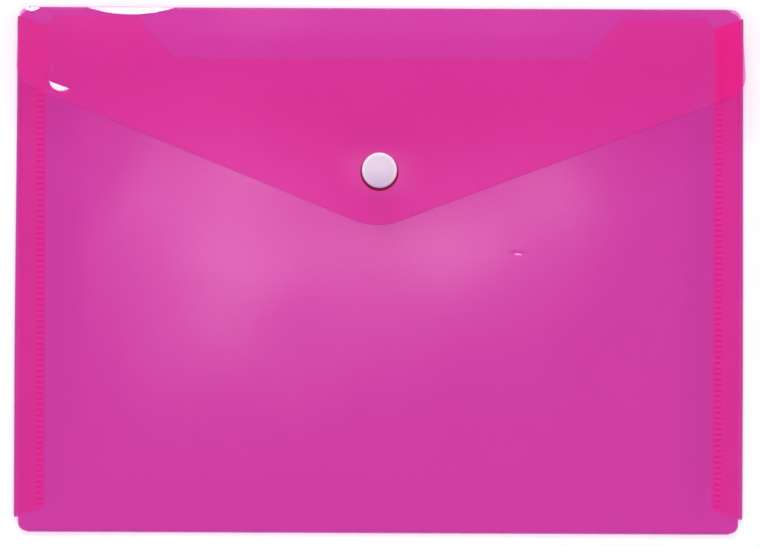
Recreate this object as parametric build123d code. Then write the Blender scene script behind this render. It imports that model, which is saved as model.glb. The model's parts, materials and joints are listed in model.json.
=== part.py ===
from build123d import *
import math
import os

os.makedirs("parts", exist_ok=True)

# Document wallet for A5 paper, lying on its back with the flap closed.
# X runs across the wallet, Y up towards the flap crease, Z up from the table.
# One folded and welded plastic sheet is the pocket and the flap, and a moulded snap closes it.
# All lengths are in millimetres.

# Sheet and the outline of the back panel
sheet = 0.2
panel_width = 247.8
wallet_height = 180.8
corner_radius = 3.0

# Side seams: the tabs of the front panel are folded inside and welded to the back panel
weld_gap = 0.1
seam_gap = 0.1
fold_reach = 1.5
tab_width = 10.5
tab_end_drop = 3.5
tab_top_margin = 3.2
tab_bottom_margin = 5.2

# Row of weld dots along each tab
weld_dot_diameter = 1.1
weld_pitch = 1.9
weld_inset = 2.0
weld_end_margin = 1.0

# Front panel: it stands off the back panel by the pocket depth, and slopes down to its seams
pocket_depth = 5.4
seam_lip = 0.5
side_slope_run = 8.5
bottom_lip = 2.0
bottom_slope_run = 14.0
slope_bend_radius = 12.0

# Mouth of the pocket: a finger cut-out between two ears, each notched off its side seam
cutout_top_width = 166.6
cutout_floor_width = 141.5
cutout_depth = 14.8
cutout_fillet = 2.0
notch_run = 3.2
ear_tip_height = 0.2

# Crease that the flap turns on
crease_radius = 0.3
crease_tail = 1.0
crease_gap = 0.1

# Flap: it rises from the crease to clear the pocket, then lies level down to its point
flap_flare = 1.0
flap_side_length = 27.3
flap_point_depth = 48.8
flap_corner_radius = 4.0
flap_point_radius = 21.5
flap_rise_run = 22.5
flap_bend_radius = 40.0

# Snap: cap and socket on the flap, stud and back cap on the front panel
snap_reach = 55.9
post_diameter = 1.5
post_clearance = 0.1
rivet_diameter = 2.5
rivet_height = 0.3
rivet_clearance = 0.15
cap_diameter = 12.4
cap_rim_height = 0.5
cap_dome_height = 1.0
socket_diameter = 10.4
socket_height = 2.4
socket_web = 0.7
socket_bore = 5.0
socket_lip_bore = 4.6
socket_lip_height = 0.5
stud_flange_diameter = 10.4
stud_flange_height = 0.9
stud_neck_diameter = 4.4
stud_neck_height = 0.65
stud_bulge_diameter = 4.8
stud_bulge_rise = 0.95
stud_height = 1.4
stud_recess_depth = 0.6
back_cap_diameter = 11.0
back_cap_height = 1.0
back_cap_edge = 0.3
snap_gap = 0.1

# How far cutting and trimming shapes run past what they cut
overrun = 5.0

# Heights of the layers
tab_under = sheet + weld_gap
rim_under = tab_under + sheet + seam_gap
rim_top = rim_under + sheet
front_under = sheet + pocket_depth
front_top = front_under + sheet
stud_flange_top = front_top + stud_flange_height
stud_top = stud_flange_top + stud_height
socket_under = stud_flange_top + snap_gap
flap_under = socket_under + socket_height
flap_top = flap_under + sheet
web_under = flap_under - socket_web

# Places along X
panel_half = panel_width / 2
crease_half = panel_half - corner_radius
fold_radius = sheet + seam_gap / 2
fold_x = panel_half + fold_reach - fold_radius
tab_inner_x = panel_half + fold_reach - tab_width
ear_x = tab_inner_x - notch_run
slope_foot_x = tab_inner_x - seam_lip
level_x = slope_foot_x - side_slope_run
flap_half = panel_half + flap_flare

# Places along Y
top_y = wallet_height / 2
bottom_fold_radius = rim_top / 2
bottom_edge_y = bottom_fold_radius - top_y
crease_y = top_y - crease_radius
crease_z = crease_radius
back_edge_y = crease_y - crease_tail
tab_top_y = top_y - tab_top_margin
tab_bottom_y = tab_bottom_margin - top_y
cutout_y = tab_top_y - cutout_depth
flap_corner_y = crease_y - flap_side_length
flap_point_y = flap_corner_y - flap_point_depth
snap_y = crease_y - snap_reach


def polygon(points):
    """Flat face inside a closed line of points."""
    return make_face(Polyline(*points, close=True))


def mirrored(points):
    """Points of a right half outline, followed by their mirror images in reverse."""
    return points + [(-x, y) for x, y in reversed(points)]


def corners_at(face, places):
    """The corners of a flat face that lie at the given places, or at their mirror images across X."""
    wanted = [(side * x, y) for x, y in places for side in (-1, 1)]
    return [v for v in face.vertices() if any(math.dist((v.X, v.Y), place) < sheet for place in wanted)]


def along_x(profile, half_length):
    """A profile of (y, z) points, drawn out along X to both sides."""
    return extrude(Plane.YZ * profile, half_length, both=True)


def along_y(profile, half_length):
    """A profile of (x, z) points, drawn out along Y to both sides."""
    return extrude(Plane.XZ * profile, half_length, both=True)


def top_skin(hill, outline):
    """The sheet that covers a solid hill, trimmed to an outline seen from above."""
    skin = hill - Pos(0, 0, -sheet) * hill
    return skin & extrude(outline, flap_top + overrun)


def turned(points):
    """A solid turned about the snap's upright axis from (radius, z) points."""
    return Pos(0, snap_y) * revolve(Plane.XZ * polygon(points), Axis.Z)


def half_tube(outer_radius):
    """Half ring of bent sheet, open towards +X, as a face about the origin."""
    ring = Circle(outer_radius) - Circle(outer_radius - sheet)
    return ring & Pos(-outer_radius, 0) * Rectangle(2 * outer_radius, 2 * outer_radius)


def post_hole():
    """Upright cutter for the hole that a snap post passes."""
    return Pos(0, snap_y) * extrude(Circle(post_diameter / 2 + post_clearance), flap_top + overrun)


def make_back_panel():
    """Flat back of the pocket, with rounded corners."""
    face = polygon(mirrored([(panel_half, bottom_edge_y), (panel_half, back_edge_y)]))
    return extrude(fillet(face.vertices(), corner_radius), sheet)


def make_bottom_fold():
    """Bend of the sheet from the back panel round to the front panel."""
    bend = Pos(bottom_edge_y, bottom_fold_radius) * half_tube(bottom_fold_radius)
    return along_x(bend, crease_half)


def front_outline():
    """Front panel seen from above, from its bottom fold up to the ears and the finger cut-out."""
    foot = (panel_half, bottom_edge_y)
    ear_corner = (cutout_top_width / 2, tab_top_y)
    floor_corner = (cutout_floor_width / 2, cutout_y)
    right = [
        foot,
        (panel_half, tab_bottom_y),
        (fold_x, tab_bottom_y),
        (fold_x, tab_top_y),
        (tab_inner_x, tab_top_y - tab_end_drop),
        (ear_x, tab_top_y),
        ear_corner,
        floor_corner,
    ]
    face = polygon(mirrored(right))
    face = fillet(corners_at(face, [foot]), corner_radius)
    return fillet(corners_at(face, [ear_corner, floor_corner]), cutout_fillet)


def make_front_panel():
    """Front of the pocket: level in the middle, sloping to the seams, the bottom and the ears."""
    far_x = fold_x + overrun
    far_y = bottom_edge_y - overrun
    side_bends = [(slope_foot_x, rim_top), (level_x, front_top)]
    across = polygon(mirrored([(far_x, 0), (far_x, rim_top), *side_bends]))
    across = fillet(corners_at(across, side_bends), slope_bend_radius)
    lip_y = bottom_edge_y + bottom_lip
    long_bends = [(lip_y, rim_top), (lip_y + bottom_slope_run, front_top), (cutout_y, front_top)]
    ear_tip = (tab_top_y, rim_top + ear_tip_height)
    upward = polygon([(far_y, 0), (far_y, rim_top), *long_bends, ear_tip, (tab_top_y, 0)])
    upward = fillet(corners_at(upward, long_bends), slope_bend_radius)
    hill = along_y(across, wallet_height) & along_x(upward, far_x)
    return top_skin(hill, front_outline()) - post_hole()


def make_side_fold(side):
    """Bend of the sheet from the front panel round to the tab inside it."""
    bend = Rot(0, 0, 180) * half_tube(fold_radius)
    length = tab_top_y - tab_bottom_y
    fold = extrude(Plane.XZ * Pos(fold_x, tab_under + fold_radius) * bend, -length)
    fold = Pos(0, tab_bottom_y) * fold
    return fold if side > 0 else mirror(fold, Plane.YZ)


def make_side_tab(side):
    """Strip folded inside the pocket, with both ends cut on a slant."""
    face = polygon([
        (side * fold_x, tab_bottom_y),
        (side * fold_x, tab_top_y),
        (side * tab_inner_x, tab_top_y - tab_end_drop),
        (side * tab_inner_x, tab_bottom_y + tab_end_drop),
    ])
    return Pos(0, 0, tab_under) * extrude(face, sheet)


def make_weld_row(side):
    """Welded dots that join a tab to the back panel."""
    low = tab_bottom_y + tab_end_drop + weld_end_margin
    high = tab_top_y - tab_end_drop - weld_end_margin
    count = int((high - low) / weld_pitch) + 1
    middle = Pos(side * (tab_inner_x + weld_inset), (low + high) / 2, sheet)
    dots = GridLocations(weld_pitch, weld_pitch, 1, count) * Circle(weld_dot_diameter / 2)
    return middle * extrude(Sketch() + dots, weld_gap)


def make_flap_crease():
    """Round bead that the flap turns on, with a tail that carries on the back panel."""
    bead = Pos(crease_y, crease_z) * Circle(crease_radius)
    tail = Pos(crease_y - crease_tail / 2, sheet / 2) * Rectangle(crease_tail, sheet)
    return along_x(bead + tail, crease_half)


def flap_outline():
    """Flap seen from above: short sides, then two long edges down to a rounded point."""
    root = (panel_half, crease_y)
    corner = (flap_half, flap_corner_y)
    point = (0, flap_point_y)
    face = polygon([root, corner, point, (-flap_half, flap_corner_y), (-panel_half, crease_y)])
    face = fillet(corners_at(face, [root]), corner_radius)
    face = fillet(corners_at(face, [corner]), flap_corner_radius)
    return fillet(corners_at(face, [point]), flap_point_radius)


def make_flap():
    """Flap that rises off the crease and lies level over the front panel."""
    bend = (crease_y - flap_rise_run, flap_top)
    end_y = flap_point_y - overrun
    face = polygon([
        (crease_y, 0),
        (crease_y, crease_z + sheet / 2),
        bend,
        (end_y, flap_top),
        (end_y, 0),
    ])
    hill = along_x(fillet(corners_at(face, [bend]), flap_bend_radius), flap_half + overrun)
    running_cut = Pos(crease_y, crease_z) * Circle(crease_radius + crease_gap)
    return top_skin(hill, flap_outline()) - along_x(running_cut, flap_half + overrun) - post_hole()


def make_snap_cap():
    """Domed cap on the flap, whose post is riveted over inside the socket."""
    post = post_diameter / 2
    rivet = rivet_diameter / 2
    rim = cap_diameter / 2
    rim_z = flap_top + cap_rim_height
    dome_z = rim_z + cap_dome_height
    dome = RadiusArc((rim, rim_z), (0, dome_z), -(rim**2 + cap_dome_height**2) / (2 * cap_dome_height))
    lower = Polyline(
        (0, dome_z),
        (0, web_under - rivet_height),
        (rivet, web_under - rivet_height),
        (rivet, web_under),
        (post, web_under),
        (post, flap_top),
        (rim, flap_top),
        (rim, rim_z),
    )
    return Pos(0, snap_y) * revolve(Plane.XZ * make_face(lower + dome), Axis.Z)


def make_snap_socket():
    """Ring under the flap, with a lip that grips the stud."""
    hole = post_diameter / 2 + post_clearance
    return turned([
        (hole, flap_under),
        (hole, web_under),
        (socket_bore / 2, web_under),
        (socket_bore / 2, socket_under + socket_lip_height),
        (socket_lip_bore / 2, socket_under + socket_lip_height),
        (socket_lip_bore / 2, socket_under),
        (socket_diameter / 2, socket_under),
        (socket_diameter / 2, flap_under),
    ])


def make_snap_stud():
    """Stud on the front panel, with a bulge that the socket snaps over."""
    hole = post_diameter / 2 + post_clearance
    recess = rivet_diameter / 2 + rivet_clearance
    neck = stud_neck_diameter / 2
    return turned([
        (hole, front_top),
        (stud_flange_diameter / 2, front_top),
        (stud_flange_diameter / 2, stud_flange_top),
        (neck, stud_flange_top),
        (neck, stud_flange_top + stud_neck_height),
        (stud_bulge_diameter / 2, stud_flange_top + stud_bulge_rise),
        (neck, stud_top),
        (recess, stud_top),
        (recess, stud_top - stud_recess_depth),
        (hole, stud_top - stud_recess_depth),
    ])


def make_snap_back_cap():
    """Flat cap inside the pocket, whose post is riveted over inside the stud."""
    post = post_diameter / 2
    rivet = rivet_diameter / 2
    rim = back_cap_diameter / 2
    under = front_under - back_cap_height
    rivet_z = stud_top - stud_recess_depth
    return turned([
        (0, under),
        (rim - back_cap_edge, under),
        (rim, under + back_cap_edge),
        (rim, front_under),
        (post, front_under),
        (post, rivet_z),
        (rivet, rivet_z),
        (rivet, rivet_z + rivet_height),
        (0, rivet_z + rivet_height),
    ])


nodes = {
    "back_panel": make_back_panel(),
    "bottom_fold": make_bottom_fold(),
    "front_panel": make_front_panel(),
    "flap_crease": make_flap_crease(),
    "flap": make_flap(),
    "snap_cap": make_snap_cap(),
    "snap_socket": make_snap_socket(),
    "snap_stud": make_snap_stud(),
    "snap_back_cap": make_snap_back_cap(),
}
for name, side in (("left", -1), ("right", 1)):
    nodes[f"{name}_side_fold"] = make_side_fold(side)
    nodes[f"{name}_side_tab"] = make_side_tab(side)
    nodes[f"{name}_weld_row"] = make_weld_row(side)

for name, solid in nodes.items():
    export_step(solid, f"parts/{name}.step")
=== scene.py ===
import json
import math

import bpy
import numpy as np
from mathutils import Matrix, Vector, noise
from mathutils.geometry import delaunay_2d_cdt


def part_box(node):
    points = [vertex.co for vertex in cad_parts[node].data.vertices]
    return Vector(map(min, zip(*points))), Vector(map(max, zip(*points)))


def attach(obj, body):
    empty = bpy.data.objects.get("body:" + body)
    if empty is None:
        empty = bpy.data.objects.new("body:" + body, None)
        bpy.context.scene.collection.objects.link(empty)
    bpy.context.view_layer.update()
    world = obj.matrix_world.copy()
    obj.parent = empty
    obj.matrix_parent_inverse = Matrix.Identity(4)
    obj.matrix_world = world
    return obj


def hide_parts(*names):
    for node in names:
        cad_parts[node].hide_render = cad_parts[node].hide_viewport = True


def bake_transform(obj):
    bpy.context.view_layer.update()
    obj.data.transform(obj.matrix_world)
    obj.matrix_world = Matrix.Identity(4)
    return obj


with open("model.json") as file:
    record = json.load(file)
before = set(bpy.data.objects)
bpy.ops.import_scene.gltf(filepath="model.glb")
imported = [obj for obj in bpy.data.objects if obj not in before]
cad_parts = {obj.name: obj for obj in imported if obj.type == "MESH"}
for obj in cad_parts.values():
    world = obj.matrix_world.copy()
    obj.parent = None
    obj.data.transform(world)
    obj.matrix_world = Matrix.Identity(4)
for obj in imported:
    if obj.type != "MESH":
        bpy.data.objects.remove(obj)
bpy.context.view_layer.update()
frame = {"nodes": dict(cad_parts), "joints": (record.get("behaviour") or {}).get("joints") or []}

# A document wallet seen from straight above. All lengths are in metres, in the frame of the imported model.
MM = 0.001

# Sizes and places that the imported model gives
BACK_LOW, BACK_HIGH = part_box("back_panel")
TAB_LOW, TAB_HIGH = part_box("right_side_tab")
FOLD_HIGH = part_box("right_side_fold")[1]
CREASE_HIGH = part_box("flap_crease")[1]
FRONT_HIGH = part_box("front_panel")[1]
WELD_LOW, WELD_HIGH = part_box("right_weld_row")
CAP_LOW, CAP_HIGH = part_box("snap_cap")
SOCKET_LOW, SOCKET_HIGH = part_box("snap_socket")
STUD_LOW, STUD_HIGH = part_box("snap_stud")
BACK_CAP_LOW, BACK_CAP_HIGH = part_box("snap_back_cap")
HINGE = frame["joints"][0]["pos_m"]

SHEET = BACK_HIGH.z
PANEL_HALF = BACK_HIGH.x
CREASE_HALF = CREASE_HIGH.x
CREASE_Y = HINGE[1]
CREASE_Z = HINGE[2]
SNAP_Y = (CAP_LOW.y + CAP_HIGH.y) / 2
TAB_MID = (TAB_LOW.z + TAB_HIGH.z) / 2
RIM_MID = FOLD_HIGH.z - SHEET / 2
LEVEL_MID = FRONT_HIGH.z - SHEET / 2
FLAP_MID = SOCKET_HIGH.z + SHEET / 2
FOLD_X = TAB_HIGH.x
FOLD_RADIUS = (RIM_MID - TAB_MID) / 2
BOTTOM_Y = BACK_LOW.y
BOTTOM_RADIUS = (RIM_MID - SHEET / 2) / 2

# Outline sizes of the sheet
CORNER_RADIUS = 3.0 * MM
TAB_END_DROP = 3.5 * MM
CUTOUT_TOP_HALF = 83.3 * MM
CUTOUT_FLOOR_HALF = 70.75 * MM
CUTOUT_DEPTH = 14.8 * MM
CUTOUT_FILLET = 2.0 * MM
NOTCH_RUN = 3.2 * MM
FLAP_FLARE_RIGHT = 1.2 * MM
FLAP_FLARE_LEFT = 0.15 * MM
FLAP_SIDE_RIGHT = 28.7 * MM
FLAP_SIDE_LEFT = 25.9 * MM
FLAP_LENGTH = 76.1 * MM
FLAP_POINT_X = -0.85 * MM
FLAP_CORNER_RADIUS = 8.0 * MM
FLAP_POINT_RADIUS = 21.6 * MM
POST_HOLE_RADIUS = 0.85 * MM
TAPER_LEFT = 0.6 * MM
TAPER_RIGHT = 0.35 * MM
TAPER_RUN = 120 * MM
TAPER_START = -TAPER_RUN / 3
CUTOUT_Y = TAB_HIGH.y - CUTOUT_DEPTH
FLAP_POINT_Y = CREASE_Y - FLAP_LENGTH

# Slopes of the front panel down to its seams, its bottom fold and its ears
SEAM_LIP = 0.5 * MM
SIDE_SLOPE_RUN = 8.5 * MM
BOTTOM_LIP = 2.0 * MM
BOTTOM_SLOPE_RUN = 14.0 * MM
BEND_EASE = 3.2 * MM
EAR_DROP_SHARE = 0.96
SLOPE_FOOT_X = TAB_LOW.x - SEAM_LIP

# Rise of the flap: a root slope, a bend and a slight tilt up to the point
CREASE_RADIUS = CREASE_HIGH.z / 2 - SHEET / 2
ROOT_SLOPE = 0.384
OUTER_SLOPE = 0.052
ROOT_TURN = math.atan(ROOT_SLOPE)
ROOT_Y = CREASE_Y + CREASE_RADIUS * math.sin(ROOT_TURN)
ROOT_Z = CREASE_Z + CREASE_RADIUS * math.cos(ROOT_TURN)
FLAP_BEND_EASE = 9.0 * MM
SNAP_LEVEL_RADIUS = 6.5 * MM
SNAP_BLEND_RADIUS = 20.0 * MM

# Slight unevenness of the front panel and of the flap: height and length of the waves, and a seed
FRONT_WAVES = ((0.09 * MM, 75 * MM, 1.7), (0.03 * MM, 26 * MM, 4.2))
FLAP_WAVE = (0.10 * MM, 60 * MM, 8.3)
FLAP_WAVE_RUN = 20 * MM

# Welds along the tabs: a row of bars in a band of fused sheet
WELD_PITCH = 1.9 * MM
WELD_BAR_ACROSS = 2.1 * MM
WELD_BAR_ALONG = 0.85 * MM
WELD_BAR_ROUND = 0.3 * MM
WELD_BAR_EASE = 0.02 * MM
WELD_BAR_SOFT = 0.12 * MM
WELD_BAND = 3.4 * MM
WELD_BAND_INNER_SHARE = 0.95
WELD_X = (WELD_LOW.x + WELD_HIGH.x) / 2
WELD_FIRST_Y = WELD_LOW.y + (WELD_HIGH.x - WELD_LOW.x) / 2
SEAM_INSET = 1.6 * MM

# Tones of the seams, of the fused bands and of the bars, on the tabs and on the sheets above them
SEAM_TONE_LEFT = 0.05
SEAM_TONE_RIGHT = 0.45
WELD_TONE = 0.35
TAB_BAR_TONE = 0.55
FRONT_BAR_TONE = 0.42
FRONT_WELD_TONE = 0.75
FLAP_BAR_TONE = 0.35

# Darker tone at folds and cut edges, and beyond the back panel
GAP_TONE = 0.5
FOLD_TONE_REACH = 0.8 * MM
RIM_TONE = 0.8
RIM_TONE_REACH = 0.45 * MM
FLAP_RIM_DROP = 1.5 * CORNER_RADIUS

# Small pinch mark in the front panel: middle and direction of its line, and the walls on both sides of it
PIT = (47.6 * MM, 6.15 * MM)
PIT_ALONG = (0.9975, -0.07)
PIT_HALF_LENGTH = 2.4 * MM
PIT_WIDTH = 0.75 * MM
PIT_SLOPE = 0.582
PIT_BACK_SHARE = 1.0

# Dent in the flap near its left corner, given in the same way
DENT = (-109.5 * MM, 63.2 * MM)
DENT_ALONG = (0.94, -0.341)
DENT_HALF_LENGTH = 5.6 * MM
DENT_WIDTH = 2.35 * MM
DENT_SLOPE = 0.53
DENT_BACK_SHARE = 3.2

# What both have: slope at the ends, rounding of the back wall, and close points of the mesh
DENT_END_SLOPE = 1.2
DENT_EASE_SHARE = 1.0
DENT_STEPS = 14
DENT_GRID_BELOW = 2
DENT_GRID_ABOVE = 3

# Flat facets pressed beside the crease: middle and half length along it, and depth across it
CREASE_FACETS = ((-85.7 * MM, 15.2 * MM, 2.5 * MM), (-119.8 * MM, 2.9 * MM, 1.5 * MM))
FACET_STEEPNESS = 0.141
FACET_FADE = 25 * MM
FACET_STEP = 0.5 * MM
FACET_CLEAR = 0.3 * MM
CREASE_ROW = 0.12 * MM

# Dark line just outside the dent and the pressed facets
LINE_TONE = 0.7
LINE_NEAR = 0.05 * MM
LINE_FAR = 0.45 * MM
LINE_OFFSETS = (-0.08 * MM, 0.08 * MM, 0.38 * MM, 0.55 * MM)

# Painted shadow of the cap on the flap: a dark ring round the cap, set lower where the cap's shadow falls
CAP_SHADOW_DROP = 0.58 * MM
CAP_SHADOW_REACH = 0.32 * MM
CAP_SHADOW_STEPS = (-0.3 * MM, 0.0, 0.3 * MM)

# Sizes of the press stud's four mouldings that their boxes don't give
POST_RADIUS = 0.75 * MM
RIVET_RADIUS = 1.25 * MM
RIVET_HOLE_RADIUS = 0.85 * MM
CAP_RIM_INSET = 0.22 * MM
CAP_EDGE_ROUND = 0.9 * MM
CAP_SHOULDER_DROP = 0.55 * MM
CAP_SKIRT = 0.15 * MM
CAP_UNDER_INSET = 0.12 * MM
CAP_DOME_STEPS = 14
ROUND_STEPS = 8
SOCKET_WEB = 0.7 * MM
SOCKET_LIP = 0.5 * MM
SOCKET_BORE_RADIUS = 2.5 * MM
SOCKET_GRIP_RADIUS = 2.3 * MM
SOCKET_EASE = 0.2 * MM
STUD_FLANGE = 0.9 * MM
STUD_NECK = 0.6 * MM
STUD_NECK_RADIUS = 2.2 * MM
STUD_BULGE_RISE = 0.95 * MM
STUD_BULGE_RADIUS = 2.4 * MM
STUD_RECESS = 0.6 * MM
STUD_RECESS_RADIUS = 1.4 * MM
STUD_EASE = 0.15 * MM
BACK_CAP_RIVET = 0.3 * MM
BACK_CAP_EASE = 0.4 * MM

# Sheets: tint of the light that passes a face straight, share that the face scatters, and its dye
SHEET_FILM = ((1.0, 0.83, 1.0), 0.29, (0.74, 0.029, 0.31))
# Painted shade: the back panel's copy of the sheet has less red, for the dimmer light that reaches the
# lowest layer
BACK_SHADED_FILM = ((0.93, 0.83, 1.0), 0.29, (0.37, 0.05, 0.30))
WELD_FILM = ((1.0, 0.83, 0.95), 0.2, (0.7, 0.0, 0.25))
# Painted shadow of the cap on the flap: a nearly opaque dark crimson face with little gloss
CAP_SHADOW_FILM = ((1.0, 0.83, 1.0), 0.94, (0.24, 0.0, 0.05))
SEAM_FILM = ((1.0, 0.75, 0.95), 0.32, (0.84, 0.0, 0.26))
SHEET_GLOSS = 1.0
CAP_SHADOW_GLOSS = 0.08
SHEET_IOR = 1.5

# Colours of the sheet in seams, on welds and at edges, and of the lamp light that a face lets through
SEAM_PIGMENT = (0.96, 0.015, 0.39)
BAR_PIGMENT = (0.5, 0.0, 0.15)
EDGE_PIGMENT = (0.33, 0.01, 0.17)
LAMP_TINT = (0.96, 0.62, 0.9)
SNAP_LAMP_TINT = (0.85, 0.8, 0.85)

# Colours of the snap: its own colour above, painted shade on the lower side, and a paler thin rolled edge
# that is partly a painted highlight, and where they change on the cap
SNAP_WHITE = (0.76, 0.60, 0.76)
SNAP_PAINTED_SHADE_WHITE = (0.60, 0.44, 0.65)
SNAP_RIM_HIGHLIGHT_WHITE = (0.92, 0.78, 0.92)
CAP_THIN_START = 1.6 * MM
CAP_THIN_END = 0.4 * MM
CAP_SHADE_BELOW = 5.5 * MM
CAP_SHADE_ABOVE = 0.5 * MM

# Drift of the roughness: scale and detail of its noise, and its limits
CLOUD_LOW = 0.3
CLOUD_HIGH = 0.7
SHEET_CLOUD = (28.0, 0.0, 0.12, 0.18)
SNAP_CLOUD = (220.0, 3.0, 0.30, 0.42)

# Fine grain: scale and detail of its noise, and strength and depth of its bump
SHEET_GRAIN = (2600.0, 0.0, 0.02, 0.02 * MM)
SNAP_GRAIN = (1800.0, 3.0, 0.1, 0.03 * MM)

# Mesh spacing
GRID_STEP = 2.5 * MM
SLOPE_STEP = 1.0 * MM
LIP_STEP = 1.5 * MM
FLAP_STEP = 2.0 * MM
ROOT_STEP = 0.5 * MM
ROOT_BAND = 5.0 * MM
EDGE_STEP = 2.0 * MM
ARC_STEP = 1.0 * MM
ARC_LEAST_STEPS = 4
FOLD_STEPS = 8
CREASE_STEPS = 12
POST_HOLE_SIDES = 24
RING_SIDES = 72
TURNED_SIDES = 96
SHARP_TURN = math.radians(40)
POINT_CLEAR = 0.02 * MM
DIFFERENCE = 0.02 * MM
MERGE_DISTANCE = DIFFERENCE / 100
FILL_WITHOUT_HOLES = 2
SMALLEST = 1e-18

# Camera: straight above, with the wallet turned a little clockwise in the picture
CAMERA_HEIGHT = 850 * MM
PICTURE_WIDTH = 261.7 * MM
CAMERA_OFFSET = (0.33 * MM, -0.97 * MM)
CAMERA_TURN = math.radians(0.25)
SENSOR_WIDTH = 36.0

# Table, surroundings and lamps; a place is a distance, a lean from upright and a swing from the crease side
TABLE_HALF = 3.0
TABLE_DROP = 0.05 * MM
TABLE_COLOUR = (0.95, 0.95, 0.955)
TABLE_ROUGHNESS = 0.9
WORLD_STRENGTH = 0.47
KEY_PLACE = (0.95, 64, -3.4)
KEY_SIZE = (0.55, 0.075)
KEY_RADIANCE = 46.0
FILL_DISTANCE = 1.0
FILL_LEAN = 62
FILL_SWINGS = (155, 205)
FILL_SIZE = (0.4, 0.4)
FILL_RADIANCE = 6.2
TRANSPARENT_BOUNCES = 32

# Overhead panels that the front mirrors: left, top, right and bottom of each glow in mm, and radiance
GLOW_HEIGHT = 0.9
GLOWS = (
    ("glow_left_arm", -78, 52, -24, -3, 3.5),
    ("glow_middle", -24, 19, 24, -3, 2.9),
    ("glow_right_arm", 24, 52, 64, -3, 2.5),
    ("glow_low", -46, -3, 62, -20, 0.9),
    ("glow_left", -74, -3, -49, -40, 2.2),
)


def smooth(share):
    """Ease from 0 to 1."""
    t = min(1.0, max(0.0, share))
    return t * t * (3 - 2 * t)


def rounded_step(distance, ease):
    """Zero below zero and the distance above it, rounded over the ease on both sides of zero."""
    if distance <= -ease:
        return 0.0
    if distance >= ease:
        return distance
    return (distance + ease) ** 2 / (4 * ease)


def ramp(distance, run, ease):
    """Share from 0 to 1 along a slope of that run, with a rounded bend at both ends."""
    return 1 - rounded_step(run - rounded_step(distance, ease), ease) / run


def ripple(x, y, size, seed):
    """Smooth unevenness from -1 to 1, with waves of about that size."""
    return noise.noise(Vector((x / size, y / size, seed)))


def rounded(corners):
    """Closed outline from (x, y, radius) corners, with an arc at each rounded one."""
    outline = []
    for i, (x, y, radius) in enumerate(corners):
        here = Vector((x, y))
        if not radius:
            outline.append(here)
            continue
        to_last = (Vector(corners[i - 1][:2]) - here).normalized()
        to_next = (Vector(corners[(i + 1) % len(corners)][:2]) - here).normalized()
        half = to_last.angle(to_next) / 2
        centre = here + (to_last + to_next).normalized() * (radius / math.sin(half))
        start = here + to_last * (radius / math.tan(half)) - centre
        end = here + to_next * (radius / math.tan(half)) - centre
        turn = start.angle_signed(end)
        steps = max(ARC_LEAST_STEPS, round(abs(turn) * radius / ARC_STEP))
        for step in range(steps + 1):
            angle = -turn * step / steps
            outline.append(centre + Vector((
                start.x * math.cos(angle) - start.y * math.sin(angle),
                start.x * math.sin(angle) + start.y * math.cos(angle),
            )))
    return outline


def mirrored(right):
    """Corners of a right half outline, followed by their mirror images in reverse."""
    return right + [(-x, y, radius) for x, y, radius in reversed(right)]


def divided(outline):
    """The outline with its long edges cut into short ones."""
    points = []
    for i, here in enumerate(outline):
        following = outline[(i + 1) % len(outline)]
        steps = max(1, round((following - here).length / EDGE_STEP))
        points += [here.lerp(following, step / steps) for step in range(steps)]
    return points


def circle(x, y, radius, count):
    """Points round a circle."""
    turns = [math.tau * i / count for i in range(count)]
    return [Vector((x + radius * math.cos(turn), y + radius * math.sin(turn))) for turn in turns]


def spaced(low, high, step):
    """Evenly spaced values from low to high, about a step apart."""
    count = max(1, round((high - low) / step))
    return [low + (high - low) * i / count for i in range(count + 1)]


def inside(points, loops, margin):
    """The points that lie inside the first loop, outside the others, and clear of all of them."""
    spots = np.array([tuple(p) for p in points])
    odd = np.zeros(len(spots), bool)
    clear = np.ones(len(spots), bool)
    for loop in loops:
        ends = np.array([tuple(p) for p in loop])
        for a, b in zip(ends, np.roll(ends, -1, axis=0)):
            crosses = (a[1] > spots[:, 1]) != (b[1] > spots[:, 1])
            rise = b[1] - a[1] or 1.0
            odd ^= crosses & (spots[:, 0] < a[0] + (spots[:, 1] - a[1]) * (b[0] - a[0]) / rise)
            along = b - a
            share = np.clip((spots - a) @ along / max(along @ along, SMALLEST), 0, 1)
            clear &= np.hypot(*(spots - a - share[:, None] * along).T) > margin
    return [Vector(spot) for spot in spots[odd & clear]]


def ring_inside(loop, inset):
    """Points a little inside a closed loop."""
    doubled = sum(a.cross(b) for a, b in zip(loop, loop[1:] + loop[:1]))
    inward = math.copysign(inset, doubled)
    points = []
    for i, here in enumerate(loop):
        along = (loop[(i + 1) % len(loop)] - loop[i - 1]).normalized()
        points.append(here + Vector((-along.y, along.x)) * inward)
    return points


def triangles_in(loops, extra):
    """Points and triangles that fill the first loop and leave the others as holes."""
    points, edges = [], []
    for loop in loops:
        first = len(points)
        points += loop
        edges += [(first + i, first + (i + 1) % len(loop)) for i in range(len(loop))]
    made = delaunay_2d_cdt(points + extra, edges, [], FILL_WITHOUT_HOLES, MERGE_DISTANCE)
    return made[0], made[2]


def link(name, points, faces, material):
    """New smooth object from points and faces."""
    mesh = bpy.data.meshes.new(name)
    mesh.from_pydata([tuple(p) for p in points], [], faces)
    mesh.validate()
    mesh.shade_smooth()
    piece = bpy.data.objects.new(name, mesh)
    piece.data.materials.append(material)
    bpy.context.scene.collection.objects.link(piece)
    return piece


def sharpen(piece, keys):
    """Marks edges as sharp, given as pairs of points."""
    for edge in piece.data.edges:
        edge.use_edge_sharp = tuple(sorted(edge.vertices)) in keys


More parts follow.
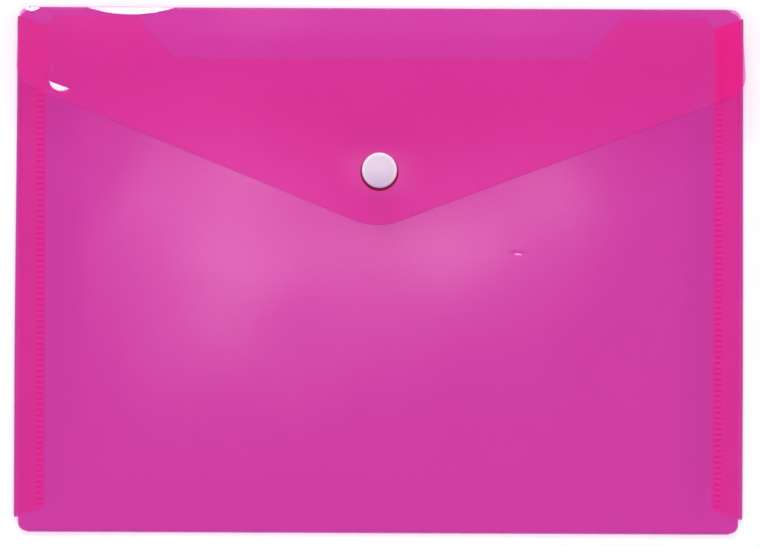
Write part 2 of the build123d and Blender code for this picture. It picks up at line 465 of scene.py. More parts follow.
def sheet_piece(name, loops, grid, place, tone, rimmed, material):
    """Closed thin sheet: a flat cut given by loops, with functions that bend it and tone it and its rim."""
    rings = [p for loop in loops for p in ring_inside(loop, RIM_TONE_REACH)]
    extra = inside(grid, loops, POINT_CLEAR) + inside(rings, loops, RIM_TONE_REACH / 2)
    flat, triangles = triangles_in(loops, extra)
    count = len(flat)
    upper, lower = [], []
    for u, v in flat:
        across = place(u + DIFFERENCE, v) - place(u - DIFFERENCE, v)
        upward = place(u, v + DIFFERENCE) - place(u, v - DIFFERENCE)
        normal = across.cross(upward).normalized()
        upper.append(place(u, v) + normal * SHEET / 2)
        lower.append(place(u, v) - normal * SHEET / 2)
    sides = {(t[i], t[(i + 1) % 3]) for t in triangles for i in range(3)}
    rim = [(a, b) for a, b in sides if (b, a) not in sides]
    faces = [tuple(t) for t in triangles]
    faces += [tuple(i + count for i in reversed(t)) for t in triangles]
    faces += [(b, a, a + count, b + count) for a, b in rim]
    piece = link(name, upper + lower, faces, material)
    keys = {tuple(sorted(pair)) for pair in rim}
    keys |= {(a + count, b + count) for a, b in keys}
    sharpen(piece, keys)
    seam, edge, bar = (list(values) for values in zip(*[tone(u, v) for u, v in flat]))
    for i in {i for pair in rim for i in pair if rimmed(*flat[i])}:
        edge[i] = max(edge[i], RIM_TONE)
    for key, values in (("seam", seam), ("edge", edge), ("bar", bar)):
        piece.data.attributes.new(key, "FLOAT", "POINT").data.foreach_set("value", values * 2)
    return piece


def in_dent(x, y, middle, along, half_length):
    """Distance of a place below the line of a dent, and its share along it, from 1 at the middle to 0."""
    off = Vector((x - middle[0], y - middle[1]))
    along = Vector(along)
    return off.cross(along), max(0.0, 1 - (off.dot(along) / half_length) ** 2)


def dent(x, y, middle, along, half_length, width, slope, back_share):
    """Depth of a pinched dent: a flat wall below its line that ends in an arc, and a back wall above it."""
    distance, share = in_dent(x, y, middle, along, half_length)
    below = distance / width
    if below < 0:
        back = 1 - ramp(-below, back_share, min(DENT_EASE_SHARE, back_share / 2))
        return width * min(slope, DENT_END_SLOPE * share) * back
    return width * max(0.0, min(slope * (1 - below), DENT_END_SLOPE * (share - below)))


def on_line(gap):
    """Whether a place that far outside a pressed place lies on the dark line round it."""
    return LINE_NEAR < gap < LINE_FAR


def dent_lined(x, y):
    """Whether a place of the flap lies on the dark line round its dent."""
    below, share = in_dent(x, y, DENT, DENT_ALONG, DENT_HALF_LENGTH)
    wall = DENT_WIDTH * (DENT_END_SLOPE * share - DENT_SLOPE) / (DENT_END_SLOPE - DENT_SLOPE)
    return wall > 0 and (on_line(below - wall) or on_line(-below))


def dent_grid(middle, half_length, width):
    """Close points over a dent."""
    step = width / DENT_STEPS
    us = spaced(middle[0] - half_length, middle[0] + half_length, 2 * step)
    vs = spaced(middle[1] - DENT_GRID_BELOW * width, middle[1] + DENT_GRID_ABOVE * width, step)
    return [(u, v) for u in us for v in vs]


def front_wave(x, y):
    """Unevenness of the front panel, which is still at the snap."""
    calm = smooth((math.hypot(x, y - SNAP_Y) - SNAP_LEVEL_RADIUS) / SNAP_BLEND_RADIUS)
    wave = sum(height * ripple(x, y, length, seed) for height, length, seed in FRONT_WAVES)
    pinch = dent(x, y, PIT, PIT_ALONG, PIT_HALF_LENGTH, PIT_WIDTH, PIT_SLOPE, PIT_BACK_SHARE)
    return calm * wave - pinch


def front_height(x, y):
    """Middle of the front panel's sheet above the table."""
    across = ramp(SLOPE_FOOT_X - abs(x), SIDE_SLOPE_RUN, BEND_EASE)
    upward = ramp(y - BOTTOM_Y - BOTTOM_LIP, BOTTOM_SLOPE_RUN, BEND_EASE)
    ear = ramp(y - CUTOUT_Y, CUTOUT_DEPTH, BEND_EASE)
    lift = across * upward * (1 - EAR_DROP_SHARE * ear)
    return RIM_MID + lift * (LEVEL_MID - RIM_MID + front_wave(x, y))


def tapered(x, side, v):
    """Distance from the middle, with the seams drawn in a little towards the top."""
    across = smooth((x - SLOPE_FOOT_X) / (FOLD_X - SLOPE_FOOT_X))
    upward = smooth((v - TAPER_START) / TAPER_RUN)
    return x - across * upward * (TAPER_LEFT if side < 0 else TAPER_RIGHT)


def front_place(u, v):
    """Where a point of the flat front sheet lies: on the panel, round a fold, or on a tab."""
    side = math.copysign(1, u)
    past = abs(u) - FOLD_X
    if v < BOTTOM_Y:
        turn = (BOTTOM_Y - v) / BOTTOM_RADIUS
        z = RIM_MID - BOTTOM_RADIUS * (1 - math.cos(turn))
        return Vector((u, BOTTOM_Y - BOTTOM_RADIUS * math.sin(turn), z))
    if past <= 0:
        return Vector((side * tapered(abs(u), side, v), v, front_height(u, v)))
    turn = past / FOLD_RADIUS
    if turn < math.pi:
        x = FOLD_X + FOLD_RADIUS * math.sin(turn)
        return Vector((side * tapered(x, side, v), v, RIM_MID - FOLD_RADIUS * (1 - math.cos(turn))))
    return Vector((side * tapered(FOLD_X - past + math.pi * FOLD_RADIUS, side, v), v, TAB_MID))


def front_tone(u, v):
    """How much a point of the flat front sheet is toned by its seam, its folds and its row of welds."""
    past = abs(u) - FOLD_X
    fold_length = math.pi * FOLD_RADIUS
    tab_x = FOLD_X - past + fold_length
    seam, bar = 0.0, 0.0
    if past > fold_length + SEAM_INSET:
        seam = SEAM_TONE_RIGHT if u > 0 else SEAM_TONE_LEFT
        seam += WELD_TONE if tab_x < TAB_LOW.x + WELD_BAND else 0.0
        bar = TAB_BAR_TONE if abs(tab_x - WELD_X) < WELD_BAR_ACROSS / 2 else 0.0
    elif abs(v) < TAB_HIGH.y - TAB_END_DROP and abs(abs(u) - WELD_X) < WELD_BAR_ACROSS / 2:
        seam = FRONT_WELD_TONE
        bar = FRONT_BAR_TONE
    at_side = -FOLD_TONE_REACH / 2 < past < fold_length + FOLD_TONE_REACH / 2
    at_bottom = v < BOTTOM_Y + FOLD_TONE_REACH / 2
    edge = 1.0 if at_side or at_bottom else 0.0
    if PANEL_HALF < abs(u) <= FOLD_X:
        edge = max(edge, GAP_TONE)
    return seam, edge, bar


def front_rimmed(u, v):
    """Whether the rim of the flat front sheet is toned at this place."""
    return abs(u) < FOLD_X


def front_loops():
    """Flat cut of the front panel with its bottom fold, its side folds and its tabs."""
    bend = math.pi * BOTTOM_RADIUS
    fold_end = FOLD_X + math.pi * FOLD_RADIUS
    tab_end = fold_end + FOLD_X - TAB_LOW.x
    right = [
        (CREASE_HALF, BOTTOM_Y - bend, 0),
        (CREASE_HALF, BOTTOM_Y, 0),
        (PANEL_HALF, BOTTOM_Y, CORNER_RADIUS),
        (PANEL_HALF, TAB_LOW.y, 0),
        (FOLD_X, TAB_LOW.y, 0),
        (fold_end, TAB_LOW.y, 0),
        (tab_end, TAB_LOW.y + TAB_END_DROP, 0),
        (tab_end, TAB_HIGH.y - TAB_END_DROP, 0),
        (fold_end, TAB_HIGH.y, 0),
        (FOLD_X, TAB_HIGH.y, 0),
        (TAB_LOW.x, TAB_HIGH.y - TAB_END_DROP, 0),
        (TAB_LOW.x - NOTCH_RUN, TAB_HIGH.y, 0),
        (CUTOUT_TOP_HALF, TAB_HIGH.y, CUTOUT_FILLET),
        (CUTOUT_FLOOR_HALF, CUTOUT_Y, CUTOUT_FILLET),
    ]
    return [divided(rounded(mirrored(right))), circle(0, SNAP_Y, POST_HOLE_RADIUS, POST_HOLE_SIDES)]


def front_sheet(material):
    """Front panel, bottom fold, side folds and tabs, as the one sheet that they are."""
    loops = front_loops()
    half_turn = math.pi * FOLD_RADIUS
    bend = math.pi * BOTTOM_RADIUS
    level = spaced(0, SLOPE_FOOT_X - SIDE_SLOPE_RUN - BEND_EASE, GRID_STEP)
    slope = spaced(level[-1], SLOPE_FOOT_X + BEND_EASE, SLOPE_STEP)
    seam = spaced(slope[-1], PANEL_HALF - WELD_BAR_SOFT, GRID_STEP)
    softs = (-WELD_BAR_SOFT, WELD_BAR_SOFT)
    seam += [WELD_X + side * (WELD_BAR_ACROSS / 2 + soft) for side in (-1, 1) for soft in softs]
    gap = [PANEL_HALF + WELD_BAR_SOFT, FOLD_X - FOLD_TONE_REACH]
    fold = spaced(FOLD_X, FOLD_X + half_turn, half_turn / FOLD_STEPS)
    tab_end = fold[-1] + FOLD_X - TAB_LOW.x
    inset = [fold[-1] + SEAM_INSET + soft for soft in softs]
    tab = [fold[-1] + FOLD_TONE_REACH] + inset + spaced(inset[-1], tab_end - WELD_BAND, GRID_STEP)
    band = [tab_end - WELD_BAND * WELD_BAND_INNER_SHARE]
    bar = tab_end - WELD_X + TAB_LOW.x
    sides = [bar + side * (WELD_BAR_ACROSS / 2 + soft) for side in (-1, 1) for soft in softs]
    right = sorted(set(level + slope + seam + gap + fold + tab + band + sides))
    us = [-u for u in right[:0:-1]] + right
    low = spaced(BOTTOM_Y - bend, BOTTOM_Y, bend / FOLD_STEPS)
    lip_end = BOTTOM_Y + BOTTOM_LIP + BOTTOM_SLOPE_RUN + BEND_EASE
    lip = spaced(BOTTOM_Y + FOLD_TONE_REACH, lip_end, LIP_STEP)
    body = spaced(lip[-1], TAB_HIGH.y, GRID_STEP)
    vs = sorted(set(low + lip + body))
    grid = [(u, v) for u in us for v in vs]
    grid += dent_grid(PIT, PIT_HALF_LENGTH, PIT_WIDTH)
    return sheet_piece("front_sheet", loops, grid, front_place, front_tone, front_rimmed, material)


def facet_reach(x, facet):
    """How far a pressed facet reaches from the crease at a place along it."""
    middle, half_length, depth = facet
    return depth * max(0.0, 1 - ((x - middle) / half_length) ** 2)


def facet_rise(x, away):
    """Rise of the flap over the facets pressed beside its crease."""
    rise = 0.0
    for facet in CREASE_FACETS:
        reach = facet_reach(x, facet)
        rise += FACET_STEEPNESS * min(away, reach) * math.exp(-max(0.0, away - reach) / FACET_FADE)
    return rise


def facet_grid(facet, rows):
    """Close points on a pressed facet, along its lower line, and on the rows at the crease beside it."""
    middle, half_length, depth = facet
    us = spaced(middle - half_length, middle + half_length, FACET_STEP)
    rows = rows + spaced(ROOT_Y - depth - LINE_FAR, ROOT_Y - FACET_CLEAR, FACET_CLEAR)
    beside = [(u, v) for u in us for v in rows]
    lines = [(u, ROOT_Y - facet_reach(u, facet)) for u in us]
    lined = [(u, v - off) for u, v in lines for off in LINE_OFFSETS if v - off < ROOT_Y - FACET_CLEAR]
    return beside + lined


def flap_height(x, y):
    """Middle of the flap's sheet above the table."""
    away = ROOT_Y - y
    bend = (FLAP_MID - OUTER_SLOPE * (ROOT_Y - SNAP_Y) - ROOT_Z) / (ROOT_SLOPE - OUTER_SLOPE)
    z = ROOT_Z + ROOT_SLOPE * away - (ROOT_SLOPE - OUTER_SLOPE) * rounded_step(away - bend, FLAP_BEND_EASE)
    calm = smooth((math.hypot(x, y - SNAP_Y) - SNAP_LEVEL_RADIUS) / (SNAP_BLEND_RADIUS - SNAP_LEVEL_RADIUS))
    height, length, seed = FLAP_WAVE
    wave = height * ripple(x, y, length, seed) * smooth(away / FLAP_WAVE_RUN)
    pressed = dent(x, y, DENT, DENT_ALONG, DENT_HALF_LENGTH, DENT_WIDTH, DENT_SLOPE, DENT_BACK_SHARE)
    return FLAP_MID + calm * (z + wave - FLAP_MID) + facet_rise(x, away) - pressed


def flap_place(u, v):
    """Where a point of the flat flap sheet lies: on the flap, round the crease, or on its tail."""
    past = v - ROOT_Y
    if past <= 0:
        return Vector((u, v, flap_height(u, v)))
    turn = math.pi / 2 - ROOT_TURN - past / CREASE_RADIUS
    if turn > -math.pi / 2:
        y = CREASE_Y + CREASE_RADIUS * math.cos(turn)
        return Vector((u, y, CREASE_Z + CREASE_RADIUS * math.sin(turn)))
    tail = (-math.pi / 2 - turn) * CREASE_RADIUS
    return Vector((u, CREASE_Y - tail, CREASE_Z - CREASE_RADIUS))


def flap_tone(u, v):
    """How much a point of the flat flap sheet is toned: at its crease, at pressed places, over welds."""
    away = ROOT_Y - v
    reaches = [facet_reach(u, facet) for facet in CREASE_FACETS]
    lined = dent_lined(u, v) or any(reach > 0 and on_line(away - reach) for reach in reaches)
    edge = 1.0 if away < FOLD_TONE_REACH / 2 else LINE_TONE * lined
    bar = FLAP_BAR_TONE if over_seam(u, v) and abs(u - WELD_X) < WELD_BAR_ACROSS / 2 else 0.0
    return 0.0, edge, bar


def flap_rimmed(u, v):
    """Whether the rim of the flat flap is toned at this place: all of it but the sides that overhang."""
    return abs(u) < PANEL_HALF - CORNER_RADIUS or v > CREASE_Y - FLAP_RIM_DROP


def flap_loops():
    """Flat cut of the flap with its crease and the tail that joins the back panel."""
    tail_end = ROOT_Y + (math.pi - ROOT_TURN) * CREASE_RADIUS + CREASE_Y - BACK_HIGH.y
    corners = [
        (CREASE_HALF, tail_end, 0),
        (CREASE_HALF, ROOT_Y, 0),
        (PANEL_HALF, ROOT_Y, CORNER_RADIUS),
        (PANEL_HALF + FLAP_FLARE_RIGHT, CREASE_Y - FLAP_SIDE_RIGHT, FLAP_CORNER_RADIUS),
        (FLAP_POINT_X, FLAP_POINT_Y, FLAP_POINT_RADIUS),
        (-PANEL_HALF - FLAP_FLARE_LEFT, CREASE_Y - FLAP_SIDE_LEFT, FLAP_CORNER_RADIUS),
        (-PANEL_HALF, ROOT_Y, CORNER_RADIUS),
        (-CREASE_HALF, ROOT_Y, 0),
        (-CREASE_HALF, tail_end, 0),
    ]
    return [divided(rounded(corners)), circle(0, SNAP_Y, POST_HOLE_RADIUS, POST_HOLE_SIDES)]


def over_seam(x, y):
    """Whether a place of the flap lies on the right seam."""
    seam_top = TAB_HIGH.y - TAB_END_DROP * (FOLD_X - x) / (FOLD_X - TAB_LOW.x)
    return TAB_LOW.x < x < FOLD_X - SEAM_INSET and y < seam_top


def flap_sheet(material, cap_shadow_material, seam_material):
    """Flap and crease as one sheet, with faces of their own for a painted shadow round the cap, and over the
    right seam.
    """
    loops = flap_loops()
    roll = (math.pi - ROOT_TURN) * CREASE_RADIUS
    us = spaced(-PANEL_HALF - FLAP_FLARE_LEFT, PANEL_HALF + FLAP_FLARE_RIGHT, FLAP_STEP)
    bar_sides = (WELD_X - WELD_BAR_ACROSS / 2, WELD_X + WELD_BAR_ACROSS / 2)
    strip_sides = (TAB_LOW.x, FOLD_X - SEAM_INSET, *bar_sides)
    us += [x + soft for x in strip_sides for soft in (-WELD_BAR_SOFT, WELD_BAR_SOFT)]
    body = spaced(FLAP_POINT_Y, ROOT_Y - ROOT_BAND, FLAP_STEP)
    root = spaced(body[-1], ROOT_Y, ROOT_STEP)
    crease = spaced(ROOT_Y, ROOT_Y + roll, roll / CREASE_STEPS)
    crease.append(ROOT_Y - CREASE_ROW)
    vs = sorted(set(body + root + crease))
    grid = [(u, v) for u in us for v in vs] + dent_grid(DENT, DENT_HALF_LENGTH, DENT_WIDTH)
    for facet in CREASE_FACETS:
        grid += facet_grid(facet, crease)
    # Faces in a ring round the cap, set lower on the flap, carry the painted shadow of the cap
    cap_shadow_radius = CAP_HIGH.x + CAP_SHADOW_REACH
    cap_shadow_y = SNAP_Y - CAP_SHADOW_DROP
    for step in CAP_SHADOW_STEPS:
        grid += [tuple(p) for p in circle(0, cap_shadow_y, cap_shadow_radius + step, RING_SIDES)]
    piece = sheet_piece("flap_sheet", loops, grid, flap_place, flap_tone, flap_rimmed, material)
    materials = piece.data.materials
    materials.append(cap_shadow_material)
    materials.append(seam_material)
    cap_shadow_slot = materials.find(cap_shadow_material.name)
    seam_slot = materials.find(seam_material.name)
    for face in piece.data.polygons:
        if math.hypot(face.center.x, face.center.y - cap_shadow_y) < cap_shadow_radius:
            face.material_index = cap_shadow_slot
        elif over_seam(face.center.x, face.center.y):
            face.material_index = seam_slot
    return piece


def weld_seam(name, side, material):
    """Row of rounded bars where a tab is fused to the back panel."""
    across = WELD_BAR_ACROSS / 2
    along = WELD_BAR_ALONG / 2
    corners = [(across, -along), (across, along), (-across, along), (-across, -along)]
    outline = rounded([(x, y, WELD_BAR_ROUND) for x, y in corners])
    size = len(outline)
    ease = WELD_BAR_EASE
    low = WELD_LOW.z + ease
    high = WELD_HIGH.z - ease
    layers = [(low, ease), (low + ease, 0), (high - ease, 0), (high, ease)]
    x = side * WELD_X
    count = round((WELD_HIGH.y - WELD_LOW.y) / WELD_PITCH)
    points, faces = [], []
    for bar in range(count):
        base = len(points)
        y = WELD_FIRST_Y + bar * WELD_PITCH
        for z, inset in layers:
            share_x = 1 - inset / across
            share_y = 1 - inset / along
            points += [Vector((x + p.x * share_x, y + p.y * share_y, z)) for p in outline]
        for layer in range(len(layers) - 1):
            start = base + layer * size
            for i in range(size):
                j = (i + 1) % size
                faces.append((start + i, start + j, start + size + j, start + size + i))
        faces.append(tuple(base + i for i in reversed(range(size))))
        faces.append(tuple(base + (len(layers) - 1) * size + i for i in range(size)))
    return link(name, points, faces, material)


def turned(name, profile, material):
    """Closed solid turned about the snap's axis from (radius, z) points, with only its ends on the axis."""
    count = TURNED_SIDES
    doubled = sum(Vector(a).cross(Vector(b)) for a, b in zip(profile, profile[1:] + profile[:1]))
    if doubled > 0:
        profile = profile[::-1]
    points, faces, rings = [], [], []
    for radius, z in profile:
        if radius == 0:
            rings.append([len(points)])
            points.append(Vector((0, SNAP_Y, z)))
            continue
        rings.append(list(range(len(points), len(points) + count)))
        points += [Vector((p.x, p.y, z)) for p in circle(0, SNAP_Y, radius, count)]
    closed = profile[0][0] != 0
    pairs = list(zip(rings, rings[1:] + rings[:1])) if closed else list(zip(rings, rings[1:]))
    for upper, lower in pairs:
        for i in range(count):
            j = (i + 1) % count
            first = (upper[i % len(upper)], lower[i % len(lower)])
            second = (lower[j % len(lower)], upper[j % len(upper)])
            faces.append(tuple(dict.fromkeys(first + second)))
    piece = link(name, points, faces, material)
    keys = set()
    for i, ring in enumerate(rings):
        if len(ring) == 1 or (not closed and i in (0, len(rings) - 1)):
            continue
        before = Vector(profile[i]) - Vector(profile[i - 1])
        after = Vector(profile[(i + 1) % len(profile)]) - Vector(profile[i])
        if before.angle(after) > SHARP_TURN:
            keys |= {tuple(sorted((ring[k], ring[(k + 1) % count]))) for k in range(count)}
    sharpen(piece, keys)
    return piece


def snap_cap(material):
    """Domed cap with a rolled edge, and its post riveted over inside the socket."""
    rim = CAP_HIGH.x - CAP_RIM_INSET
    inner = rim - CAP_EDGE_ROUND
    under = SOCKET_HIGH.z + SHEET
    skirt = under + CAP_SKIRT
    crown = CAP_HIGH.z
    shoulder = crown - CAP_SHOULDER_DROP
    web = SOCKET_HIGH.z - SOCKET_WEB
    dome = [inner * i / CAP_DOME_STEPS for i in range(CAP_DOME_STEPS + 1)]
    profile = [(r, crown - (crown - shoulder) * (r / inner) ** 2) for r in dome]
    for i in range(1, ROUND_STEPS + 1):
        turn = math.pi / 2 * i / ROUND_STEPS
        radius = inner + CAP_EDGE_ROUND * math.sin(turn)
        profile.append((radius, skirt + (shoulder - skirt) * math.cos(turn)))
    profile += [(rim - CAP_UNDER_INSET, under), (POST_RADIUS, under), (POST_RADIUS, web)]
    profile += [(RIVET_RADIUS, web), (RIVET_RADIUS, CAP_LOW.z), (0, CAP_LOW.z)]
    return turned("snap_cap_moulding", profile, material)


def snap_socket(material):
    """Ring under the flap, with eased edges and a lip that grips the stud."""
    low, high = SOCKET_LOW.z, SOCKET_HIGH.z
    web = high - SOCKET_WEB
    lip = low + SOCKET_LIP
    outer = SOCKET_HIGH.x
    corners = [
        (RIVET_HOLE_RADIUS, high, 0),
        (RIVET_HOLE_RADIUS, web, 0),
        (SOCKET_BORE_RADIUS, web, SOCKET_EASE),
        (SOCKET_BORE_RADIUS, lip, 0),
        (SOCKET_GRIP_RADIUS, lip, 0),
        (SOCKET_GRIP_RADIUS, low, SOCKET_EASE / 2),
        (outer, low, 2 * SOCKET_EASE),
        (outer, high, SOCKET_EASE),
    ]
    return turned("snap_socket_moulding", [tuple(p) for p in rounded(corners)], material)


def snap_stud(material):
    """Stud on the front panel, with an eased flange and a rounded bulge."""
    low, high = STUD_LOW.z, STUD_HIGH.z
    flange = STUD_HIGH.x
    flange_top = low + STUD_FLANGE
    recess = high - STUD_RECESS
    corners = [
        (RIVET_HOLE_RADIUS, low, 0),
        (flange, low, STUD_EASE),
        (flange, flange_top, 2 * STUD_EASE),
        (STUD_NECK_RADIUS, flange_top, STUD_EASE),
        (STUD_NECK_RADIUS, flange_top + STUD_NECK, STUD_EASE),
        (STUD_BULGE_RADIUS, flange_top + STUD_BULGE_RISE, STUD_EASE),
        (STUD_NECK_RADIUS, high, STUD_EASE),
        (STUD_RECESS_RADIUS, high, STUD_EASE),
        (STUD_RECESS_RADIUS, recess, 0),
        (RIVET_HOLE_RADIUS, recess, 0),
    ]
    return turned("snap_stud_moulding", [tuple(p) for p in rounded(corners)], material)


def snap_back_cap(material):
    """Flat cap inside the pocket with a rounded edge, its post riveted over inside the stud."""
    rim = BACK_CAP_HIGH.x
    under = BACK_CAP_LOW.z
    top = FRONT_HIGH.z - SHEET
    ease = BACK_CAP_EASE
    end = BACK_CAP_HIGH.z
    rivet = end - BACK_CAP_RIVET
    profile = [(0, under)]
    for i in range(ROUND_STEPS + 1):
        turn = math.pi / 2 * i / ROUND_STEPS
        profile.append((rim - ease + ease * math.sin(turn), under + ease - ease * math.cos(turn)))
    profile += [(rim, top), (POST_RADIUS, top), (POST_RADIUS, rivet)]
    profile += [(RIVET_RADIUS, rivet), (RIVET_RADIUS, end), (0, end)]
    return turned("snap_back_cap_moulding", profile, material)


def nodes_of(name):
    """New material with an empty tree, and a function that adds nodes to it."""
    material = bpy.data.materials.new(name)
    material.use_nodes = True
    tree = material.node_tree
    tree.nodes.clear()

    def add(kind, inputs=(), **settings):
        node = tree.nodes.new(kind)
        for key, value in settings.items():
            setattr(node, key, value)
        for socket, value in dict(inputs).items():
            if isinstance(value, bpy.types.NodeSocket):
                tree.links.new(value, node.inputs[socket])
            else:
                node.inputs[socket].default_value = value
        return node

    return material, add


def mixed(add, share, first, second):
    """Colour between two others."""
    return add("ShaderNodeMix", {0: share, 6: first, 7: second}, data_type="RGBA").outputs[2]


def cloudy_roughness(add, place, scale, detail, low, high):
    """Roughness that drifts between two limits."""
    cloud = add("ShaderNodeTexNoise", {"Vector": place, "Scale": scale, "Detail": detail})
    rough = add("ShaderNodeMapRange", {
        "Value": cloud.outputs["Fac"], "From Min": CLOUD_LOW, "From Max": CLOUD_HIGH,
        "To Min": low, "To Max": high,
    })
    return rough.outputs["Result"]


def grained_normal(add, place, scale, detail, strength, depth):
    """Normal of a surface with a fine grain."""
    grain = add("ShaderNodeTexNoise", {"Vector": place, "Scale": scale, "Detail": detail})
    bump = add("ShaderNodeBump", {"Height": grain.outputs["Fac"], "Strength": strength, "Distance": depth})
    return bump.outputs["Normal"]


def pass_lamps(add, surface, tint):
    """Output of a material whose surface is seen as it is, and lets tinted light of the lamps through."""
    to_lamp = add("ShaderNodeLightPath").outputs["Is Shadow Ray"]
    shade = add("ShaderNodeBsdfTransparent", {"Color": (*tint, 1)})
    lit = add("ShaderNodeMixShader", {0: to_lamp, 1: surface, 2: shade.outputs[0]})
    add("ShaderNodeOutputMaterial", {"Surface": lit.outputs[0]})


def weld_bars(add, place):
    """Mask of the bars of a weld row, from an attribute of the sheet and the place along the row."""
    row = add("ShaderNodeAttribute", attribute_name="bar").outputs["Fac"]
    along = add("ShaderNodeSeparateXYZ", {0: place}).outputs["Y"]
    start = add("ShaderNodeMath", {0: along, 1: WELD_FIRST_Y}, operation="SUBTRACT")
    apart = add("ShaderNodeMath", {0: start.outputs[0], 1: WELD_PITCH / 2}, operation="PINGPONG")
    on_bar = add("ShaderNodeMapRange", {
        "Value": apart.outputs[0], "From Min": WELD_BAR_ALONG / 2 - WELD_BAR_SOFT,
        "From Max": WELD_BAR_ALONG / 2 + WELD_BAR_SOFT, "To Min": 1.0, "To Max": 0.0,
    })
    return add("ShaderNodeMath", {0: on_bar.outputs["Result"], 1: row}, operation="MULTIPLY").outputs[0]


def film(name, tint, cover, pigment, gloss=SHEET_GLOSS):
    """Translucent dyed sheet: each face lets tinted light straight through and scatters the rest."""
    material, add = nodes_of(name)
    place = add("ShaderNodeTexCoord").outputs["Object"]
    seam = add("ShaderNodeAttribute", attribute_name="seam").outputs["Fac"]
    edge = add("ShaderNodeAttribute", attribute_name="edge").outputs["Fac"]
    in_seam = mixed(add, seam, (*pigment, 1), (*SEAM_PIGMENT, 1))
    in_bar = mixed(add, weld_bars(add, place), in_seam, (*BAR_PIGMENT, 1))
    body = add("ShaderNodeBsdfPrincipled", {
        "Base Color": mixed(add, edge, in_bar, (*EDGE_PIGMENT, 1)),
        "Roughness": cloudy_roughness(add, place, *SHEET_CLOUD),
        "Normal": grained_normal(add, place, *SHEET_GRAIN),
        "IOR": SHEET_IOR,
        "Specular IOR Level": gloss,
    })
    clear = add("ShaderNodeBsdfTransparent", {"Color": (*tint, 1)})
    both = add("ShaderNodeMixShader", {0: cover, 1: clear.outputs[0], 2: body.outputs[0]})
    pass_lamps(add, both.outputs[0], LAMP_TINT)
    return material


def moulded(name, colour, painted_shade_colour, rim_highlight_colour):
    """Satin moulded plastic, with painted shade on its lower side and a paler thin rolled edge above, kept
    to the upper side as a painted highlight.
    """
    material, add = nodes_of(name)
    place = add("ShaderNodeTexCoord").outputs["Object"]
    flat = add("ShaderNodeVectorMath", {0: place, 1: (1, 1, 0)}, operation="MULTIPLY")
    out = add("ShaderNodeVectorMath", {0: flat.outputs["Vector"], 1: (0, SNAP_Y, 0)}, operation="DISTANCE")
    thin = add("ShaderNodeMapRange", {
        "Value": out.outputs["Value"],
        "From Min": CAP_HIGH.x - CAP_THIN_START,
        "From Max": CAP_HIGH.x - CAP_THIN_END,
    })
    # Painted shade: the colour darkens towards the lower side, and the rim's paler tone, partly a painted
    # highlight, is kept to the upper side
    along = add("ShaderNodeSeparateXYZ", {0: place}).outputs["Y"]
    high = add("ShaderNodeMapRange", {
        "Value": along, "From Min": SNAP_Y - CAP_SHADE_BELOW, "From Max": SNAP_Y + CAP_SHADE_ABOVE,
    }).outputs["Result"]
    rim = add("ShaderNodeMath", {0: thin.outputs["Result"], 1: high}, operation="MULTIPLY")
    shaded = mixed(add, high, (*painted_shade_colour, 1), (*colour, 1))
    body = add("ShaderNodeBsdfPrincipled", {
        "Base Color": mixed(add, rim.outputs[0], shaded, (*rim_highlight_colour, 1)),
        "Roughness": cloudy_roughness(add, place, *SNAP_CLOUD),
        "Normal": grained_normal(add, place, *SNAP_GRAIN),
    })
    pass_lamps(add, body.outputs[0], SNAP_LAMP_TINT)
    return material


def floor_material():
    """Plain white table."""
    material, add = nodes_of("table_white")
    body = add("ShaderNodeBsdfPrincipled", {
        "Base Color": (*TABLE_COLOUR, 1), "Roughness": TABLE_ROUGHNESS, "Specular IOR Level": 0.0,
    })
    add("ShaderNodeOutputMaterial", {"Surface": body.outputs[0]})
    return material


def make_floor():
    """Wide plain table under the wallet."""
    half = TABLE_HALF
    z = -TABLE_DROP
    corners = [(-half, -half, z), (half, -half, z), (half, half, z), (-half, half, z)]
    floor = link("table", corners, [(0, 1, 2, 3)], floor_material())


def make_world():
    """Soft even surroundings."""
    world = bpy.data.worlds.new("studio")
    world.use_nodes = True
    background = world.node_tree.nodes["Background"]
    background.inputs["Color"].default_value = (1, 1, 1, 1)
    background.inputs["Strength"].default_value = WORLD_STRENGTH
    bpy.context.scene.world = world


def softbox(name, place, width, height, radiance):
    """Rectangular lamp that faces the middle of the wallet, with the given brightness of its face."""
    lamp = bpy.data.lights.new(name, "AREA")
    lamp.shape = "RECTANGLE"
    lamp.size = width
    lamp.size_y = height
    lamp.energy = radiance * math.pi * width * height
    box = bpy.data.objects.new(name, lamp)
    box.location = place
    box.rotation_euler = (-Vector(place)).to_track_quat("-Z", "Y").to_euler()
    bpy.context.scene.collection.objects.link(box)
    return box


def around(distance, lean, swing):
    """Place at a distance from the wallet, leaning from upright and swung clockwise from the crease side."""
    level = distance * math.sin(math.radians(lean))
    turn = math.radians(swing)
    return (level * math.sin(turn), level * math.cos(turn), distance * math.cos(math.radians(lean)))


def mirrored_panel(name, left, top, right, bottom, radiance):
    """Overhead panel that the level front shows as a soft glow between these lines."""
    spread = (GLOW_HEIGHT - LEVEL_MID) / (CAMERA_HEIGHT - LEVEL_MID) + 1
    place = ((left + right) / 2 * spread, (top + bottom) / 2 * spread, GLOW_HEIGHT)
    softbox(name, place, (right - left) * spread, (top - bottom) * spread, radiance)


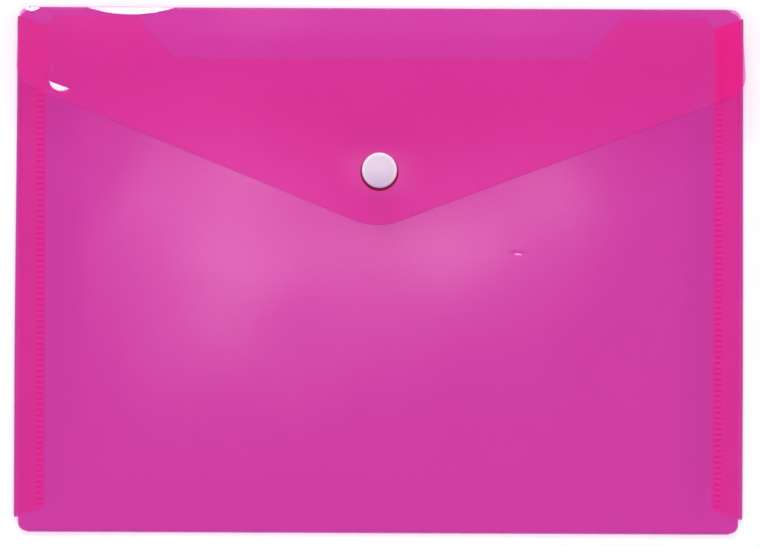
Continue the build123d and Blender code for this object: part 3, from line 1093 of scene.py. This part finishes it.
def make_lights():
    """Key light beyond the crease, soft fills on the other side, and panels that the front mirrors."""
    softbox("key_light", around(*KEY_PLACE), *KEY_SIZE, KEY_RADIANCE)
    for swing in FILL_SWINGS:
        place = around(FILL_DISTANCE, FILL_LEAN, swing)
        fill = softbox(f"fill_light_{swing}", place, *FILL_SIZE, FILL_RADIANCE)
        fill.visible_glossy = False
    for name, left, top, right, bottom, radiance in GLOWS:
        mirrored_panel(name, left * MM, top * MM, right * MM, bottom * MM, radiance)


def make_camera():
    """Camera straight above the wallet."""
    camera = bpy.data.cameras.new("camera")
    camera.sensor_width = SENSOR_WIDTH
    camera.lens = SENSOR_WIDTH * CAMERA_HEIGHT / PICTURE_WIDTH
    holder = bpy.data.objects.new("camera", camera)
    holder.location = (*CAMERA_OFFSET, CAMERA_HEIGHT)
    holder.rotation_euler = (0, 0, CAMERA_TURN)
    bpy.context.scene.collection.objects.link(holder)
    bpy.context.scene.camera = holder


def make_wallet():
    """The folded sheet, its welds and the snap."""
    pink = film("pink_sheet", *SHEET_FILM)
    pink_back = film("pink_back_sheet_painted_shade", *BACK_SHADED_FILM)
    weld = film("pink_weld", *WELD_FILM)
    # This ring material is a painted shadow of the cap on the flap
    ring = film("pink_painted_cap_shadow", *CAP_SHADOW_FILM, gloss=CAP_SHADOW_GLOSS)
    seam_pink = film("pink_seam", *SEAM_FILM)
    white = moulded("snap_white", SNAP_WHITE, SNAP_PAINTED_SHADE_WHITE, SNAP_RIM_HIGHLIGHT_WHITE)
    front = front_sheet(pink)
    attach(front, "wallet")
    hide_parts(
        "front_panel", "bottom_fold",
        "left_side_fold", "right_side_fold", "left_side_tab", "right_side_tab",
    )
    flap = flap_sheet(pink, ring, seam_pink)
    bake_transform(flap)
    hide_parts("flap", "flap_crease")
    for name, side in (("left", -1), ("right", 1)):
        seam = weld_seam(f"{name}_weld_seam", side, weld)
        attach(seam, "wallet")
        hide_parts(f"{name}_weld_row")
    snaps = (
        (snap_cap, "snap_cap", "flap"),
        (snap_socket, "snap_socket", "flap"),
        (snap_stud, "snap_stud", "wallet"),
        (snap_back_cap, "snap_back_cap", "wallet"),
    )
    for make, node, body in snaps:
        moulding = make(white)
        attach(moulding, body)
        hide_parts(node)
    # The back panel gets the darker copy of the sheet: painted shade
    back = frame["nodes"]["back_panel"]
    back.data.materials.clear()
    back.data.materials.append(pink_back)


make_wallet()
make_floor()
make_world()
make_lights()
make_camera()

scene = bpy.context.scene
scene.view_settings.view_transform = "Standard"
scene.cycles.transparent_max_bounces = TRANSPARENT_BOUNCES
